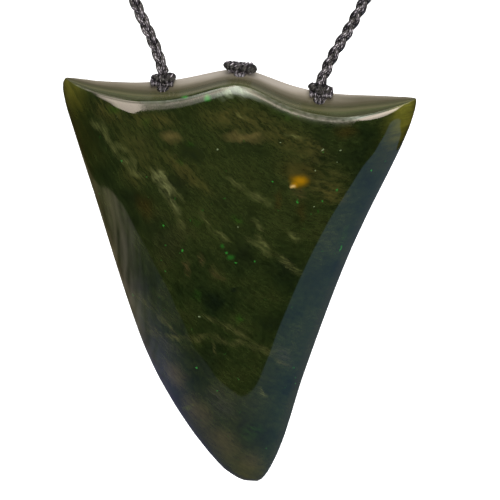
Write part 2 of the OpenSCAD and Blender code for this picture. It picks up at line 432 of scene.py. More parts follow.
# %% The drilled holes
HOLE = 1.0 * MM
SLANT = math.radians(60)
MOUTH_BACK = 0.73
HOLE_PLACES = {"left_lashing": -13, "centre_lashing": -0.4, "right_lashing": 13}


def top_places(x):
    """Back and height of a hole's mouth and of the back rim, x millimetres from the middle of the top."""
    left, right = rows[0, 1:3]
    front_rim, back_rim, rim_half, gutter = top_at((2 * x - left - right) / (right - left))
    height = front_rim + MOUTH_BACK * (back_rim - front_rim) - gutter * 4 * MOUTH_BACK * (1 - MOUTH_BACK)
    return ((2 * MOUTH_BACK - 1) * rim_half, height), (rim_half, back_rim)


for x in HOLE_PLACES.values():
    (y, z), rim = top_places(x)
    bpy.ops.object.select_all(action="DESELECT")
    bpy.ops.mesh.primitive_cylinder_add(
        vertices=48, radius=HOLE, depth=24 * MM, rotation=(math.pi / 2 - SLANT, 0, 0),
        location=TOOTH_PLACE + Vector((x, y, z)) * MM,
    )
    drill = bpy.context.object
    apply_modifier(tooth, "drill", "BOOLEAN", operation="DIFFERENCE", solver="EXACT", object=drill)
    bpy.data.objects.remove(drill)
    print("hole at", x, "opens", round(y, 2), "back,", round(z, 2), "up; rim", [round(v, 2) for v in rim])
bpy.ops.object.select_all(action="DESELECT")
tooth.select_set(True)
bpy.context.view_layer.objects.active = tooth
bpy.ops.object.shade_smooth_by_angle(angle=math.radians(35))
print("stone:", len(tooth.data.polygons), "faces")

# %% [markdown]
# Each lashing binds the stone to the cord. The same thread goes down the drilled hole, out at the back and
# up over the rim, several times, so its turns lie side by side on the rim and crowd together in the hole.
# Then two rounds of thread are laid over the turns and twisted about each other, which makes the roll on
# the rim. Its darkness is painted shade in the thread's colour. A turn is a closed loop seen from the side
# and a roll is a closed loop seen from above, so both are tubes.

# %% The turns of a lashing
# Seen from the side, in millimetres: back, up, spread, and half the room for the turns. At spread 0 the
# turns are as narrow as the hole and measured from its mouth, and at 1 they are fully spread and measured
# from the rim.
turn_points = [
    (-0.3, 0.1, 0.6, 0.5), (-1.2, 0.05, 0.88, 0.4), (-1.6, -0.15, 0.9, 0.36), (-1.25, 0.05, 1, 0.36),
    (-0.5, 0.3, 1, 0.36), (0.3, 0.5, 1, 0.36), (0.95, -0.15, 0.95, 0.36), (1.7, -1.1, 0.75, 0.4),
    (2.2, -2.1, 0.5, 0.4), (2.7, -3, 0.2, 0.45), (2.5, -3.7, 0, 0.55), (1.7, -2.95, 0, 0.65),
    (1.1, -1.9, 0, 0.7), (0.55, -0.95, 0, 0.7),
]
turn_way = smooth_line(turn_points, 3, closed=True)
HOLE_HALF = 0.8  # half the width that the turns take up in the hole
THREAD_HALF = 0.34
LAYER_HALF = 0.33  # what a layer of turns takes up of the room in the hole
TURN_LAP = 1.08  # the turns press into each other by this much
THINNEST_TURN = 0.28


def turns(x, width, count, lean):
    """The tubes of a lashing's turns, width wide on the rim. lean shifts their lower ends across."""
    (mouth_y, mouth_z), (rim_y, rim_z) = top_places(x)
    y, z, spread, room = turn_way.T
    y = y + mouth_y + spread * (rim_y - mouth_y)
    z = z + mouth_z + spread * (rim_z - mouth_z)
    run = np.stack([np.roll(y, -1) - np.roll(y, 1), np.roll(z, -1) - np.roll(z, 1)], axis=1)
    run /= np.linalg.norm(run, axis=1)[:, None]
    out = np.stack([np.zeros(len(y)), -run[:, 1], run[:, 0]], axis=1)
    half = HOLE_HALF + spread * (width / 2 - HOLE_HALF)
    shift = lean * np.sin(2 * math.pi * np.arange(len(y)) / len(y))
    found = []
    for k in range(count):
        place = (2 * k + 1) / count - 1
        # In the hole the turns lie in two layers
        layer = (room - LAYER_HALF) * (1 - spread) * (1 if k % 2 else -1)
        line = np.stack([x + place * half + shift, y, z], axis=1) + out * layer[:, None]
        thick = np.maximum(half / count * TURN_LAP, THINNEST_TURN)
        line = line * MM + np.array(TOOTH_PLACE)
        found.append(tube(line, (thick * MM, THREAD_HALF * MM), 8, flat=out, closed=True))
    return found


print("one turn has", len(turn_way), "rings")

# %% The roll on the rim
ROLL_THREAD = 0.40
ROLL_RADIUS = 0.36  # from the middle of the roll to the middle of each thread
ROLL_DEPTH = 0.35  # half of it, from front to back
ROLL_POINTS = 72
ROLL_ROUND = 0.8  # 1 would make its oblong an oval, and less makes its ends squarer


def roll_tubes(x, half_width, back, up, tilt, twists):
    """Two threads twisted about each other round the turns. back and up are measured from the back rim."""
    _, (rim_y, rim_z) = top_places(x)
    angle = np.arange(ROLL_POINTS) * 2 * math.pi / ROLL_POINTS
    # A rounded oblong, long across the turns
    middle = np.stack([
        half_width * np.sign(np.cos(angle)) * np.abs(np.cos(angle)) ** ROLL_ROUND,
        ROLL_DEPTH * np.sin(angle),
        np.zeros(ROLL_POINTS),
    ], axis=1)
    run = np.roll(middle, -1, 0) - np.roll(middle, 1, 0)
    run /= np.linalg.norm(run, axis=1)[:, None]
    side = np.cross(run, [0, 0, 1])
    found = []
    for start in (0, math.pi):
        wind = (twists * angle + start)[:, None]
        line = middle + ROLL_RADIUS * (side * np.cos(wind) + np.array([0, 0, 1]) * np.sin(wind))
        line[:, 2] += tilt * line[:, 0]
        line = (line + (x, rim_y + back, rim_z + up)) * MM + np.array(TOOTH_PLACE)
        found.append(tube(line, (ROLL_THREAD * MM,) * 2, 8, flat=(0, 0, 1), closed=True))
    return found


# %% The three lashings
# Width of the turns, their number and lean, their painted shade (below 0 it is painted light), then the
# roll's half width, place back and up, tilt and twists
lashing_sizes = {
    "left_lashing": (3.9, 6, -0.25, 0, 1.3, -0.6, 0.72, 0.14, 5),
    "centre_lashing": (4.2, 7, 0, -0.7, 2.1, -1.2, 0.42, -0.08, 7),
    "right_lashing": (3.9, 6, 0.25, 0, 1.3, -0.6, 0.72, -0.14, 5),
}
lashings = {}
for node, (width, count, lean, dark, *roll_sizes) in lashing_sizes.items():
    x = HOLE_PLACES[node]
    rolls = roll_tubes(x, *roll_sizes)
    lashings[node] = join_tubes(node + "_turns", turns(x, width, count, lean) + rolls)
    # The roll is the last two tubes of the piece, and its thread gets the full painted shade
    painted_shades = np.full(len(lashings[node].data.vertices), float(dark))
    painted_shades[-sum(len(points) for points, _, _ in rolls):] = 1
    store(lashings[node], "painted_shade", painted_shades)
    print(node, len(lashings[node].data.polygons), "faces")

# %% [markdown]
# Finishes are made of nodes. Colours are written as the hex values that a paint chart would give, and one
# function turns them to the linear values that Blender works in. Nodes could be drawn by hand in the Shader
# Editor, and in code one small function adds any of them. It takes the inputs in the order in which the
# node shows them, or by name with a capital letter, and each may be a value or another node's output. Names
# in small letters are the node's own settings. A Map Range node takes a value, the two ends it comes from,
# and the two it goes to, which are 0 and 1 if they aren't given.

# %% Colour and node helpers
def colour(value):
    """Linear RGBA from an sRGB hex colour."""
    parts = [int(value[i:i + 2], 16) / 255 for i in (1, 3, 5)]
    return (*(p / 12.92 if p <= 0.04045 else ((p + 0.055) / 1.055) ** 2.4 for p in parts), 1)


def add(tree, kind, *values, stops=None, **named):
    """Adds a node with its inputs, its settings and a ramp's stops, and returns its outputs."""
    node = tree.nodes.new("ShaderNode" + kind)
    inputs = dict(enumerate(values))
    for key, value in named.items():
        if key[0].islower():
            setattr(node, key, value)
        else:
            inputs[key.replace("_", " ")] = value
    for key, value in inputs.items():
        if isinstance(value, bpy.types.NodeSocket):
            tree.links.new(value, node.inputs[key])
        else:
            node.inputs[key].default_value = value
    if stops:
        elements = node.color_ramp.elements
        while len(elements) < len(stops):
            elements.new(0.5)
        for element, (position, tint) in zip(elements, stops):
            element.position = position
            element.color = colour(tint) if isinstance(tint, str) else (*tint, 1)
    return node.outputs


def new_material(name):
    """A new material, its node tree, and its Principled shader's inputs."""
    material = bpy.data.materials.new(name)
    material.use_nodes = True
    tree = material.node_tree
    return material, tree, tree.nodes["Principled BSDF"].inputs


# %% [markdown]
# The stone is nephrite, the tough kind of jade. It is a felt of fine fibres, so it takes a high polish, and
# its green changes from place to place in clouds, streaks and pale veins. A picture could be laid on it,
# but a picture has seams and stretches at the edges. Here the pattern is worked out from each point's place
# in millimetres, so it runs right through the stone as the real one does, and the holes and the back show
# it too.

# %% The stone's own measure
nephrite, tree, shader = new_material("polished_nephrite")
# A spot in the stone in millimetres, across, back and up from the middle between the horns
metres = add(tree, "TexCoord")["Object"]
spot = add(tree, "Mapping", metres, Location=-TOOTH_PLACE / MM, Scale=(1 / MM,) * 3)[0]

# Everything in the stone is pushed about by a few millimetres, which makes ovals and lines wispy
WARP = 2.6
push = add(tree, "TexNoise", spot, Scale=0.42, Detail=5, Roughness=0.6)["Color"]
push = add(tree, "VectorMath", push, (0.5,) * 3, operation="SUBTRACT")[0]
warped, lightly_warped = (
    add(tree, "VectorMath", push, (reach,) * 3, spot, operation="MULTIPLY_ADD")[0]
    for reach in (WARP, WARP / 2)
)
print("material", nephrite.name, "is measured from", [round(v, 3) for v in TOOTH_PLACE])

# %% The grain's own axes
# The grain runs down to the right, steep at the left edge and flatter to the right
GRAIN_SLOPE = 0.75
GRAIN_BEND = -0.018
axes = add(tree, "SeparateXYZ", lightly_warped)
square = add(tree, "Math", axes["X"], axes["X"], operation="MULTIPLY")[0]
bent = add(tree, "Math", square, GRAIN_BEND, axes["Z"], operation="MULTIPLY_ADD")[0]
across = add(tree, "Math", axes["X"], GRAIN_SLOPE, bent, operation="MULTIPLY_ADD")[0]
grain_place = add(tree, "CombineXYZ", across, axes["X"], axes["Y"])[0]
print("in the middle the grain falls", GRAIN_SLOPE, "mm in each millimetre")

# %% Grain, mottle, felt and fibres
# How often each repeats in a millimetre, across the grain, along it and into the stone, and then its detail
# and its roughness
grain_patterns = {
    "grain": ((1.2, 0.2, 0.3), 5, 0.66),
    "mottle": ((1.32, 0.52, 0.9), 4, 0.65),
    "felt": ((3.36, 1.2, 1.2), 3, 0.7),
    "fibres": ((3.84, 0.3, 0.3), 3, 0.6),
}
grain, mottle, felt, fibres = (
    add(
        tree, "TexNoise", add(tree, "VectorMath", grain_place, often, operation="MULTIPLY")[0], Scale=1,
        Detail=detail, Roughness=roughness,
    )["Fac"]
    for often, detail, roughness in grain_patterns.values()
)
grain = add(tree, "MapRange", grain, 0.36, 0.74)[0]
fibres = add(tree, "MapRange", fibres, 0.45, 0.61, 0.25)[0]
grains = add(tree, "MapRange", mottle, 0.38, 0.66, 0.15)[0]
shade = add(
    tree, "Math", add(tree, "MapRange", mottle, 0.3, 0.7, 0.75, 1.25)[0],
    add(tree, "MapRange", felt, 0.3, 0.7, 0.66, 1.34)[0], operation="MULTIPLY",
)[0]
print("patterns along the grain:", list(grain_patterns))

# %% The green itself
CLOUD = 7.7  # millimetres from cloud to cloud
clouds = add(tree, "TexNoise", warped, Scale=1 / CLOUD, Detail=4, Roughness=0.5)["Fac"]
green = add(tree, "ValToRGB", clouds, stops=[
    (0.25, "#10180c"), (0.42, "#1a240e"), (0.58, "#212a10"), (0.8, "#2c2e16"),
])["Color"]
streak_share = add(tree, "MapRange", clouds, 0.35, 0.75, 0, 0.5)[0]
streak_share = add(tree, "Math", streak_share, grain, operation="MULTIPLY")[0]
green = add(tree, "Mix", Factor=streak_share, A=green, B=colour("#3d4021"), data_type="RGBA")["Result"]
print("the green so far:", len(tree.nodes), "nodes")

# %% [markdown]
# Each stone has its own marks, and this one has pale veins, brown and dark clouds, green flecks and one
# orange grain. They could be left to chance, but then it would be another stone. So each mark is an oval
# that is placed in millimetres, across from the middle and down from the horns, and a vein is a row of
# ovals from point to point. The ovals lie in the front half of the stone only. The back gets the clouds,
# the grain and the flecks.

# %% Ovals and veins
def oval(x, z, long, wide, lean=0, soft=1):
    """An oval's middle, half length, half width, lean down to the right, and how much of it is soft."""
    return x, z, long, wide, lean, soft


VEIN_LAP = 0.62  # half an oval's length beside the way between two points, so neighbours overlap
VEIN_THIN = 0.85


def vein(wide, *points):
    """The ovals of a vein that runs through these points."""
    found = []
    for (x0, z0), (x1, z1) in zip(points, points[1:]):
        long = VEIN_LAP * math.hypot(x1 - x0, z1 - z0) + 0.5 * wide
        lean = math.degrees(math.atan2(z0 - z1, x1 - x0))
        found.append(oval((x0 + x1) / 2, (z0 + z1) / 2, long, VEIN_THIN * wide, lean))
    return found


LEAN_STEP = 10
OVAL_DEPTH, OVAL_BACK = 4.5, -3  # half an oval's size from front to back, and its middle there


def turned_places(place, leans):
    """The place as seen from frames that lean down to the right by each of these angles."""
    return {
        lean: add(tree, "Mapping", place, Rotation=(0, -math.radians(lean), 0))[0]
        for lean in leans
    }


def paint(below, tint, strength, texture, ovals, places):
    """The colour below with a tint painted over it in some ovals, as strongly as the texture says."""
    # A shader holds few values at a time, so each oval is joined to the others as soon as it is made
    share = 0.0
    for x, z, long, wide, lean, soft in ovals:
        lean = LEAN_STEP * round(lean / LEAN_STEP) % 180
        c, s = math.cos(math.radians(lean)), math.sin(math.radians(lean))
        size = np.array((long, OVAL_DEPTH, wide))
        middle = np.array((x * c - z * s, OVAL_BACK, x * s + z * c))
        away = add(tree, "VectorMath", places[lean], 1 / size, -middle / size, operation="MULTIPLY_ADD")[0]
        away = add(tree, "VectorMath", away, operation="LENGTH")["Value"]
        inside = add(tree, "MapRange", away, 1, 1 - soft, 0, strength, interpolation_type="SMOOTHSTEP")[0]
        share = add(tree, "Math", share, inside, operation="MAXIMUM")[0]
    if texture:
        share = add(tree, "Math", share, texture, operation="MULTIPLY", use_clamp=True)[0]
    return add(tree, "Mix", Factor=share, A=below, B=colour(tint), data_type="RGBA")["Result"]


# %% The marks of this stone
# Colour, strength, texture, and the ovals
marks = [
    ("#3b401e", 0.32, None, [oval(-1, -15, 30, 24)]),
    ("#474321", 0.5, grains, [
        oval(12, -12, 9, 5, 20), oval(-16, -11, 9, 4, 50), oval(-17, -15.5, 4, 3, 50), oval(3, -5, 12, 3),
        oval(16, -13, 5, 3, 20),
    ]),
    ("#10180f", 0.45, None, [oval(-11.5, -26, 8, 6, 60), oval(-4, -49, 5, 4, 30)]),
    ("#0e160d", 0.8, grains, [
        oval(-7.2, -10.2, 3.4, 2.2, 40, 0.7), oval(0.8, -34.8, 0.9, 1.2, 60, 0.7),
        oval(-2.6, -37.5, 2.4, 2.6, 0, 0.7), oval(7.3, -41.1, 2.4, 1.8, 0, 0.7),
        oval(4.8, -57.2, 1.8, 1.2, 30), oval(-5.3, -53.3, 2.6, 1.4, 10), oval(3.1, -61.5, 1, 2.4, 20),
        oval(14, -33, 3, 6, -20),
    ]),
    ("#4a4421", 0.8, grains, [
        oval(15.5, -16, 5, 3, 20), oval(0, -3.2, 10, 3), oval(-22, -4.5, 4.5, 3, 30), oval(9, -7, 9, 3, 20),
        oval(-14, -5, 6, 2.2), oval(-8, -14, 8, 2.5, 40),
    ]),
    ("#33290f", 0.55, None, [
        oval(-14.8, -21, 4, 2.4, 60), oval(10.4, -12.5, 5, 3, 15), oval(18, -5, 3, 2),
        oval(11.2, -19.5, 3.5, 1.2, 80), oval(7.4, -18, 3, 0.9, 90),
    ]),
    ("#23450f", 0.6, grains, [
        oval(7.5, -2.3, 2.6, 1.6, 20), oval(-20.8, -4, 1.8, 1.2), oval(-15.3, -5.5, 1.3, 1.3),
        oval(-7.8, -8.7, 1, 1), oval(-9, -11.9, 1.2, 1.1), oval(0.7, -21.7, 1.6, 1.3),
        oval(-5.6, -22.8, 1.6, 1.2, 30), oval(-11.6, -24, 1.2, 0.9), oval(-5.4, -36.6, 1.2, 2),
        oval(1.8, -40.6, 1.5, 1.3), oval(5.1, -63, 2.4, 3, 20), oval(18.5, -25, 1, 4, 20),
    ]),
    ("#5c522e", 0.85, None, [
        oval(-11, -7.7, 2.6, 1.5, 10), oval(1, -6.8, 5.2, 1.4), oval(2.2, -6.4, 3, 0.8),
    ]),
    ("#7f886c", 0.75, grains, [oval(0.4, 0.9, 1.9, 1.6), oval(-2.4, 0.5, 2.4, 1, -10)]),
    ("#4a3f25", 0.8, fibres, [
        *vein(1.2, (-5.5, -28.4), (-4.7, -30.6)), *vein(1.4, (-3.3, -31.2), (-1.2, -32.9)),
        *vein(1, (-8, -30.4), (-7.2, -33)), *vein(1.2, (9.8, -15.6), (11.9, -17)),
    ]),
    ("#3b3a30", 0.7, fibres, [
        oval(-0.6, -57.6, 5, 3, 50), oval(10, -48, 4, 1.8, 50), oval(-11, -47, 5, 2, 30),
    ]),
    ("#544a2f", 0.55, None, [
        oval(-5, -60, 6, 4, 50), oval(0, -66, 6, 4, 50), oval(5, -70, 5, 4, 40), oval(-9, -53, 5, 3, 60),
    ]),
    ("#62643a", 0.72, fibres, [
        *vein(1.2, (-24.4, -6.4), (-22.4, -8.4), (-20.8, -10.2), (-19.6, -12.3), (-17.8, -13.8),
              (-15.4, -15.4)),
        *vein(0.9, (-22.8, -6.2), (-20.7, -9.7), (-17.9, -11.6), (-16.4, -14.2)),
        *vein(1, (-11.6, -18.3), (-9.4, -22.3), (-8.2, -24.1)), *vein(0.9, (-10.6, -16.7), (-8.3, -19.3)),
        *vein(0.9, (-5.7, -21.2), (-3.4, -23.6), (-0.7, -25.9)),
        *vein(1.1, (-1.5, -14.2), (1.7, -16.4), (6.3, -18.7)), *vein(0.8, (3.2, -21.2), (5.3, -23.9)),
        *vein(0.8, (9.2, -23.1), (11.2, -25.7)), *vein(1.2, (2.3, -25.4), (6.9, -27.6), (12, -31.3)),
        *vein(0.9, (4, -24), (6.5, -27.2)), *vein(0.7, (-0.6, -2.8), (1.7, -3.4)),
        *vein(0.7, (7.7, -5.5), (10.7, -6.7)), *vein(0.8, (5.7, -54.2), (7.3, -56.2)),
    ]),
    ("#4b4b2a", 0.9, fibres, [
        *vein(1.1, (-4.3, -40), (-1.5, -41.2), (0.9, -42.6), (3.5, -44.3), (8, -47)),
        *vein(1.3, (-15.2, -44.7), (-11.1, -45.5), (-7.5, -45.1), (-2.8, -44.2), (0, -45), (3.1, -45.2),
              (7.8, -47.3)),
        *vein(0.7, (-2.6, -44.9), (-1.7, -48)), *vein(0.8, (-17, -37.4), (-12.9, -41), (-8.5, -44.9)),
        *vein(0.7, (-14.5, -43), (-10.5, -46)), *vein(0.8, (8.6, -48), (11, -50.4)),
    ]),
    ("#76784c", 1, grains, [
        oval(-12.6, -15.2, 2.8, 1.5, 50), oval(-11.3, -17, 2.8, 1.6, 60), oval(-9.8, -20, 2.6, 0.8, 60),
    ]),
    ("#5f6b24", 0.7, grains, [oval(-6.4, -59.4, 1.8, 0.9, -35)]),
]
places = turned_places(warped, range(0, 180, LEAN_STEP))
for tint, strength, texture, ovals in marks:
    green = paint(green, tint, strength, texture, ovals, places)
# The mottle and the felt darken and lighten the marks too
green = add(tree, "VectorMath", green, Scale=shade, operation="SCALE")[0]
print("nephrite:", len(tree.nodes), "nodes")

# %% [markdown]
# Light gets a little way into nephrite. Where the stone is thin, at its sides, its horns and its tip, the
# light comes through and the green turns yellow. Real scattering could be traced, but it is slow and noisy,
# and the stone is dark. So each point of the mesh stores half the thickness of the stone there, and the
# finish reads it.

# %% Thin edges
co = np.array([v.co for v in tooth.data.vertices])
co = (co - np.array(TOOTH_PLACE)) / MM
left, right, half, power = (np.interp(-co[:, 2], rows[:, 0], rows[:, k]) for k in range(1, 5))
sideways = (2 * co[:, 0] - left - right) / (right - left)
store(tooth, "half_thickness", half * fullness(sideways, power))
half_thickness = add(tree, "Attribute", attribute_name="half_thickness")["Fac"]
clear_grain = add(tree, "MapRange", grain, 0, 1, 0.5, 1.2)[0]
# At the horns and the tip the light comes through most, elsewhere only along the very edge
for tint, strength, thin, thick, ovals in (
    ("#303010", 0.75, 0.8, 3.6, [
        oval(-27, -9, 12, 5, 70, 0.7), oval(26, -8, 8, 5, -60, 0.7), oval(-3, -66, 9, 6, 50, 0.7),
    ]),
    ("#766f27", 1, 0.2, 3.4, [oval(-29, -1.5, 7, 5.5, 75)]),
    ("#9a9434", 1, 0.2, 3.6, [oval(28.5, -2, 9, 5.5, -70)]),
    ("#4c4a17", 1, 0.2, 3.2, [oval(5, -72, 10, 4.5, 30)]),
):
    share = add(tree, "MapRange", half_thickness, thick, thin, interpolation_type="SMOOTHSTEP")[0]
    share = add(tree, "Math", share, clear_grain, operation="MULTIPLY")[0]
    green = paint(green, tint, strength, share, ovals, places)
edge_share = add(tree, "MapRange", half_thickness, 1.2, 0.3, 0, 0.45)[0]
green = add(tree, "Mix", Factor=edge_share, A=green, B=colour("#40361b"), data_type="RGBA")["Result"]
print("half thickness up to", round(half.max(), 2), "mm")

# %% [markdown]
# Bright green points lie scattered all through the stone, and a few of them, and one orange grain, are
# bright enough to know the stone by. The scattered ones come from a Voronoi texture, which splits the stone
# into cells with a point in each. The ones that everyone would notice are placed as ovals again.

# %% Scattered flecks
# Noise pushes them out of round. Sizes and radii are in millimetres
RAGGED = 0.9
ragged = add(tree, "TexNoise", spot, Scale=2.5, Detail=2)["Color"]
ragged = add(tree, "VectorMath", ragged, (RAGGED,) * 3, spot, operation="MULTIPLY_ADD")[0]
for size, radius, kept, dim, bright in (
    (2.4, 0.24, 0.7, "#1f4514", "#3a8a3c"),
    (7, 0.5, 0.4, "#1d4010", "#2a6f1c"),
    (4.2, 0.18, 0.4, "#4c5b3a", "#a3aa8b"),
):
    # One cell has one point, only a share of the cells keep theirs, and few of those are bright
    points = add(tree, "TexVoronoi", ragged, Scale=1 / size)
    inside = add(tree, "MapRange", points["Distance"], radius / size, 0.25 * radius / size)[0]
    chance = add(tree, "SeparateXYZ", points["Color"])
    chosen = add(tree, "Math", chance["X"], kept, operation="LESS_THAN")[0]
    share = add(tree, "Math", inside, chosen, operation="MULTIPLY")[0]
    light = add(tree, "Math", chance["Y"], 3, operation="POWER")[0]
    tint = add(tree, "Mix", Factor=light, A=colour(dim), B=colour(bright), data_type="RGBA")["Result"]
    green = add(tree, "Mix", Factor=share, A=green, B=tint, data_type="RGBA")["Result"]
    print("flecks", size, "mm apart, up to", 2 * radius, "mm across")

# %% The orange grain and the brightest points
places = turned_places(lightly_warped, (0, 20, 60, 160))
for tint, strength, *ovals in (
    ("#4f4a22", 0.4, oval(9.9, -12.2, 2.2, 2.2)),
    ("#6f5508", 1, oval(10.7, -14.1, 2.3, 1.8, 0, 0.8)),
    ("#9c700a", 1, oval(10.8, -14, 1.7, 1.2), oval(9.9, -14.8, 1.1, 0.8, -20)),
    ("#d9b878", 0.9, oval(9.5, -15.1, 0.7, 0.5)),
    ("#98a67e", 0.7, *(oval(*point, soft=0.7) for point in (
        (-3.2, -9.2, 0.16, 0.17), (7.1, -7.2, 0.15, 0.15), (14.1, -8.3, 0.4, 0.12, -20),
        (17, -8.2, 0.26, 0.12, -20), (16.6, -10.4, 0.15, 0.12), (13.1, -12.1, 0.17, 0.17),
        (13.3, -18.7, 0.15, 0.16), (0.7, -23, 0.17, 0.17), (-4.8, -40.7, 0.2, 0.2),
    ))),
    ("#25611f", 0.8, oval(-0.2, -28.8, 0.9, 1.1, 60), oval(-1.6, -26.8, 0.5, 0.7)),
    ("#2f8f33", 0.8, *(oval(*point, soft=0.7) for point in (
        (10.4, -17.9, 0.24, 0.3), (14.7, -17.8, 0.26, 0.2), (6.1, -14.3, 0.2, 0.2), (22.5, -12.2, 0.2, 0.3),
        (18.3, -27, 0.2, 0.9, 20), (4, -29.3, 0.2, 0.2), (-11.6, -24, 0.24, 0.2), (-8.3, -28.3, 0.22, 0.34),
    )), oval(0.7, -29.8, 0.4, 0.3), oval(-0.9, -28, 0.4, 0.3), oval(-9.2, -0.3, 1.2, 0.7, 20),
     oval(-5.2, -0.4, 0.9, 0.8)),
):
    green = paint(green, tint, strength, None, ovals, places)
print("nephrite:", len(tree.nodes), "nodes")

# %% [markdown]
# The top face was only ground smooth, along its length. The light that falls on it from above and the
# studio that it mirrors are painted into its colour: a pale painted band along the back rim, a darker
# valley, a lighter band in front of it and dark at the front rim. These painted stripes follow the rims, so
# they can't come from the place in millimetres alone. Each point stores how far back it lies on the top,
# from 0 at the front rim to 1 at the back rim, and a colour ramp across that draws the stripes.

# %% The painted stripes of the top face
sideways = np.clip((2 * co[:, 0] - rows[0, 1] - rows[0, 2]) / (rows[0, 2] - rows[0, 1]), -1, 1)
rim_half = rows[0, 3] * np.maximum(0.02, 1 - np.abs(sideways) ** SECTION) ** rows[0, 4]
store(tooth, "way_back", np.clip((co[:, 1] / rim_half + 1) / 2, 0, 1))
way_back = add(tree, "Attribute", attribute_name="way_back")["Fac"]
beside = add(tree, "SeparateXYZ", spot)["X"]
STRIPES_ALONG = 0.07  # stripes in each millimetre along the top
STRIPES_BACK = 3.5  # stripes from rim to rim
stripe_place = add(
    tree, "CombineXYZ", add(tree, "Math", beside, STRIPES_ALONG, operation="MULTIPLY")[0],
    add(tree, "Math", way_back, STRIPES_BACK, operation="MULTIPLY")[0],
)[0]
stripes = add(tree, "TexNoise", stripe_place, Scale=1, Detail=3, Roughness=0.6)["Fac"]
# The pale painted band is wider near the peak than at the lashings
from_peak = add(tree, "Math", beside, operation="ABSOLUTE")[0]
shift = add(tree, "MapRange", from_peak, 5, 20, 0.06, -0.2)[0]
shift = add(tree, "Math", way_back, shift, operation="ADD")[0]
shift = add(tree, "Math", stripes, 0.22, shift, operation="MULTIPLY_ADD")[0]
# Painted reflection and light from above: dark at the front rim, lighter before the valley, dark in it, pale
# at the back
top_painted_light = add(tree, "ValToRGB", shift, stops=[
    (0, "#33351b"), (0.12, "#3b3d20"), (0.24, "#45492a"), (0.36, "#5b573c"), (0.5, "#403f29"),
    (0.65, "#4a4432"), (0.8, "#6a6253"), (0.9, "#8a8174"), (1, "#a0978c"),
])["Color"]
up = add(tree, "SeparateXYZ", add(tree, "TexCoord")["Normal"])["Z"]
on_top = add(tree, "MapRange", up, 0.75, 0.85)[0]
# A little of the stone's own pattern still shows through the painted stripes
top_painted_light = add(tree, "Mix", Factor=0.8, A=green, B=top_painted_light, data_type="RGBA")["Result"]
green = add(tree, "Mix", Factor=on_top, A=green, B=top_painted_light, data_type="RGBA")["Result"]
tree.links.new(green, shader["Base Color"])
print("the top face is", round(2 * rim_half.max(), 1), "mm from rim to rim at most")

# %% [markdown]
# The polish is what one sees first, and it isn't the same everywhere. The faces are as smooth as glass. The
# top face is satin. The front rim is polished near the horns, but in the middle it has rubbed against
# clothes for years, and there it is dull and a little uneven. Scratches could be painted one by one. Here
# each point stores how far below the rim it lies, and a ramp across the stone says where the rim is worn
# and where it is dull.

# %% Where the rim is worn
WORN_FROM, WORN_TO = -30, 30
# Place across in millimetres, and then how worn, how dull and how dull above the rim's middle
worn_across = [
    (-30, 0, 1, 1), (-24, 0, 1, 1), (-23, 0, 0, 1), (-17, 0, 0, 1), (-15.5, 1, 0.8, 0.8), (-9, 1, 0.8, 0.6),
    (-5, 1, 0.1, 0), (1, 1, 0, 0), (4, 1, 0.9, 0), (18.6, 1, 1, 0), (20, 0, 0, 1), (27.5, 0, 0, 1),
    (28.5, 0, 1, 1),
]
store(tooth, "below_rim", np.interp(sideways, scallops[:, 0], scallops[:, 1]) - co[:, 2])
by_rim = add(tree, "MapRange", add(tree, "Attribute", attribute_name="below_rim")["Fac"], 2.6, 0.4)[0]
worn, dull, dull_above = add(tree, "SeparateColor", add(
    tree, "ValToRGB", add(tree, "MapRange", beside, WORN_FROM, WORN_TO)[0],
    stops=[((x - WORN_FROM) / (WORN_TO - WORN_FROM), tuple(values)) for x, *values in worn_across],
)["Color"])
worn = add(tree, "Math", by_rim, worn, operation="MULTIPLY")[0]
worn_at = [x for x, share, _, _ in worn_across if share]
print("the rim is worn from", worn_at[0], "to", worn_at[-1], "mm across")

# %% Roughness and sheen
POLISHED, GROUND, WORN_ROUGH = 0.04, 0.26, 0.2
rough = add(tree, "MapRange", on_top, 0, 1, POLISHED, GROUND)[0]
worn_rough = add(tree, "Math", worn, WORN_ROUGH, operation="MULTIPLY")[0]
rough = add(tree, "Math", rough, worn_rough, operation="MAXIMUM")[0]
tree.links.new(rough, shader["Roughness"])
# The wear comes in spots of about 0.6 mm
wear = add(tree, "TexNoise", spot, Scale=1.6, Detail=4, Roughness=0.7)["Fac"]
dull = add(tree, "Math", dull, add(tree, "MapRange", wear, 0.4, 0.6, 1, 0.6)[0], operation="MULTIPLY")[0]
above = add(tree, "MapRange", up, 0.45, 0.55)[0]
dull_above = add(tree, "Math", dull_above, above, operation="MULTIPLY")[0]
dull = add(tree, "Math", dull, dull_above, operation="MAXIMUM")[0]
dull = add(tree, "Math", dull, by_rim, operation="MULTIPLY")[0]
level = add(tree, "MapRange", dull, 0, 1, 0.5, 0.08)[0]
# The top face itself keeps its sheen
level = add(tree, "Mix", Factor=on_top, A=level, B=0.5)["Result"]
tree.links.new(level, shader["Specular IOR Level"])
# Nephrite bends light more than glass does
shader["IOR"].default_value = 1.61
print("roughness from", POLISHED, "on the faces to", GROUND, "on top")

# %% Scratches and wear
UNEVEN = 0.45  # how uneven the worn rim is beside the scratches of the top
DEPTH = 0.02 * MM
scratch_place = add(tree, "VectorMath", spot, (0.12, 2.2, 0.8), operation="MULTIPLY")[0]
scratches = add(tree, "TexNoise", scratch_place, Scale=1, Detail=3)["Fac"]
scratches = add(tree, "Math", scratches, on_top, operation="MULTIPLY")[0]
worn = add(tree, "Math", worn, UNEVEN, operation="MULTIPLY")[0]
wear = add(tree, "Math", wear, worn, scratches, operation="MULTIPLY_ADD")[0]
tree.links.new(add(tree, "Bump", Height=wear, Strength=1, Distance=DEPTH)[0], shader["Normal"])
tooth.data.materials.clear()
tooth.data.materials.append(nephrite)
print("nephrite:", len(tree.nodes), "nodes")
